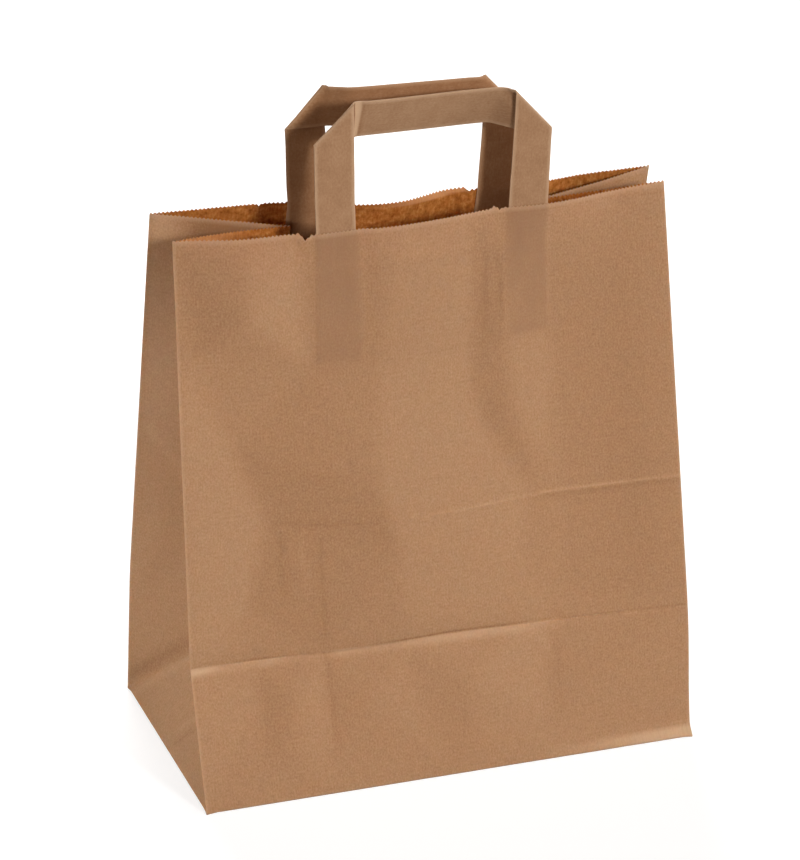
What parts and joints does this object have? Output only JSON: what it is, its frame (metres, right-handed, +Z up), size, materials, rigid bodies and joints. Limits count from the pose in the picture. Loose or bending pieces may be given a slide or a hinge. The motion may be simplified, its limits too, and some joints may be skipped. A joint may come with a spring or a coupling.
{
  "type": "paper carrier bag",
  "caption": "Kraft paper carrier bag with a block bottom, folded side gussets and flat folded paper handles glued inside its panels, standing half opened.",
  "frame": {"origin": "under the middle of the bottom, on the plane that the bag stands on", "axes": "+Z up, +X to the right seen from the front, -Y out of the front panel"},
  "size_m": [0.32, 0.175, 0.4187],
  "materials": {
    "bag_kraft": "matt brown kraft, smooth outside and mottled inside",
    "handle_kraft": "matt brown kraft strip",
    "patch_kraft": "matt rough kraft"
  },
  "bodies": {
    "root": {"bag_body": "bag_kraft", "front_handle": "handle_kraft", "back_handle": "handle_kraft", "front_handle_patch": "patch_kraft", "back_handle_patch": "patch_kraft"}
  },
  "joints": []
}
